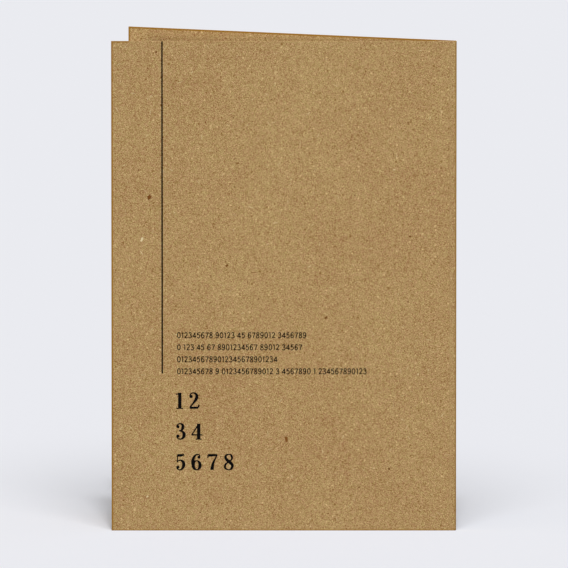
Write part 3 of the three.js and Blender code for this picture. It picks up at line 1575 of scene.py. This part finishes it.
def add_sun(name, strength, spread, azimuth, elevation, lit=None):
    """A soft light. Azimuth is counted from the camera's side towards the right, and the light falls
    on everything, or only on the pieces that it is given to light."""
    lamp = bpy.data.lights.new(name, "SUN")
    lamp.energy = strength
    lamp.angle = math.radians(spread)
    sun = bpy.data.objects.new(name, lamp)
    bpy.context.scene.collection.objects.link(sun)
    turn = math.radians(azimuth)
    rise = math.radians(elevation)
    towards = Vector(
        (math.sin(turn) * math.cos(rise), -math.cos(turn) * math.cos(rise), math.sin(rise))
    )
    sun.rotation_mode = "QUATERNION"
    sun.rotation_quaternion = towards.to_track_quat("Z", "Y")
    sun.location = towards
    if lit:
        receivers = bpy.data.collections.new(f"{name}_falls_on")
        for piece in lit:
            receivers.objects.link(piece)
        sun.light_linking.receiver_collection = receivers


def set_world(sky_strength, background_colour):
    """Even light from all round, and a pale backdrop for what looks past the floor."""
    world = bpy.data.worlds.new("studio")
    world.use_nodes = True
    world.node_tree.nodes.clear()
    wiring = Wiring(world.node_tree)
    sky = wiring.node(
        "ShaderNodeBackground", {"Color": (1.0, 1.0, 1.0, 1.0), "Strength": sky_strength}
    )
    backdrop = wiring.node(
        "ShaderNodeBackground", {"Color": opaque(background_colour), "Strength": 1.0}
    )
    chosen = wiring.node(
        "ShaderNodeMixShader",
        {0: seen_directly(wiring), 1: sky.outputs[0], 2: backdrop.outputs[0]},
    )
    wiring.node("ShaderNodeOutputWorld", {"Surface": chosen.outputs[0]})
    bpy.context.scene.world = world


def add_floor(colour):
    shape = bmesh.new()
    bmesh.ops.create_grid(shape, x_segments=1, y_segments=1, size=FLOOR_HALF)
    mesh = bpy.data.meshes.new("floor")
    shape.to_mesh(mesh)
    shape.free()
    mesh.materials.append(floor_material(colour))
    floor = new_piece("floor", mesh)


def add_camera(lens, elevation):
    """Looks at the back leaf square on and a little down, framed as the photograph is."""
    camera = bpy.data.objects.new("camera", bpy.data.cameras.new("camera"))
    bpy.context.scene.collection.objects.link(camera)
    camera.data.lens = lens
    camera.data.sensor_width = SENSOR_WIDTH
    frame_width = LEAF_WIDTH / LEAF_PX * PHOTO_SIZE
    distance = frame_width * lens / SENSOR_WIDTH
    aim = Vector(
        (
            (CARD_LOW.x + CARD_HIGH.x) / 2 + AIM_RIGHT,
            CARD_LOW.y,
            (CARD_LOW.z + CARD_HIGH.z) / 2 + AIM_ABOVE,
        )
    )
    back = Vector((0.0, -math.cos(elevation), math.sin(elevation)))
    camera.location = aim + back * distance
    camera.rotation_mode = "QUATERNION"
    camera.rotation_quaternion = back.to_track_quat("Z", "Y")
    camera.data.clip_start = distance * NEAR_CLIP
    camera.data.clip_end = distance * FAR_CLIP
    bpy.context.scene.camera = camera


class INVITATION_OT_stage(Operator):
    """Set the pale floor, the soft light and the camera"""

    bl_idname = "invitation.stage"
    bl_label = "Stage"

    def execute(self, context):
        scene = context.scene
        stage = scene.invitation_stage
        add_floor(stage.floor_colour)
        set_world(stage.sky, stage.background_colour)
        card = [bpy.data.objects[name] for name in CARD_PIECES]
        for name, (spread, azimuth, elevation) in ROOM_LIGHTS.items():
            add_sun(name, getattr(stage, name), spread, azimuth, elevation)
        for name, (spread, azimuth, elevation) in CARD_LIGHTS.items():
            add_sun(name, getattr(stage, name), spread, azimuth, elevation, card)
        add_camera(stage.lens, stage.elevation)
        scene.view_settings.view_transform = "Standard"
        return {"FINISHED"}


OPERATORS = (
    INVITATION_OT_folded_sheet,
    INVITATION_OT_flecks,
    INVITATION_OT_upright_rule,
    INVITATION_OT_small_rows,
    INVITATION_OT_large_rows,
    INVITATION_OT_stage,
)


class INVITATION_PT_sidebar(Panel):
    """Lists the steps and the settings of the invitation"""

    bl_idname = "INVITATION_PT_sidebar"
    bl_label = "Kraft Invitation"
    bl_space_type = "VIEW_3D"
    bl_region_type = "UI"
    bl_category = "Invitation"

    def draw(self, context):
        layout = self.layout
        for operator in OPERATORS:
            layout.operator(operator.bl_idname)
        for name in SETTINGS:
            settings = getattr(context.scene, name)
            box = layout.box()
            for field in settings.bl_rna.properties:
                if field.identifier in settings.__annotations__:
                    box.prop(settings, field.identifier)


def register():
    for kind in (*SETTINGS.values(), *OPERATORS, INVITATION_PT_sidebar):
        bpy.utils.register_class(kind)
    for name, kind in SETTINGS.items():
        setattr(bpy.types.Scene, name, PointerProperty(type=kind))


def unregister():
    for name in SETTINGS:
        delattr(bpy.types.Scene, name)
    for kind in reversed((*SETTINGS.values(), *OPERATORS, INVITATION_PT_sidebar)):
        bpy.utils.unregister_class(kind)


def main():
    """Makes the invitation and its stage through the operators above."""
    register()
    bpy.ops.invitation.folded_sheet()
    bpy.ops.invitation.flecks()
    bpy.ops.invitation.upright_rule()
    bpy.ops.invitation.small_rows()
    bpy.ops.invitation.large_rows()
    bpy.ops.invitation.stage()


if __name__ == "__main__":
    main()
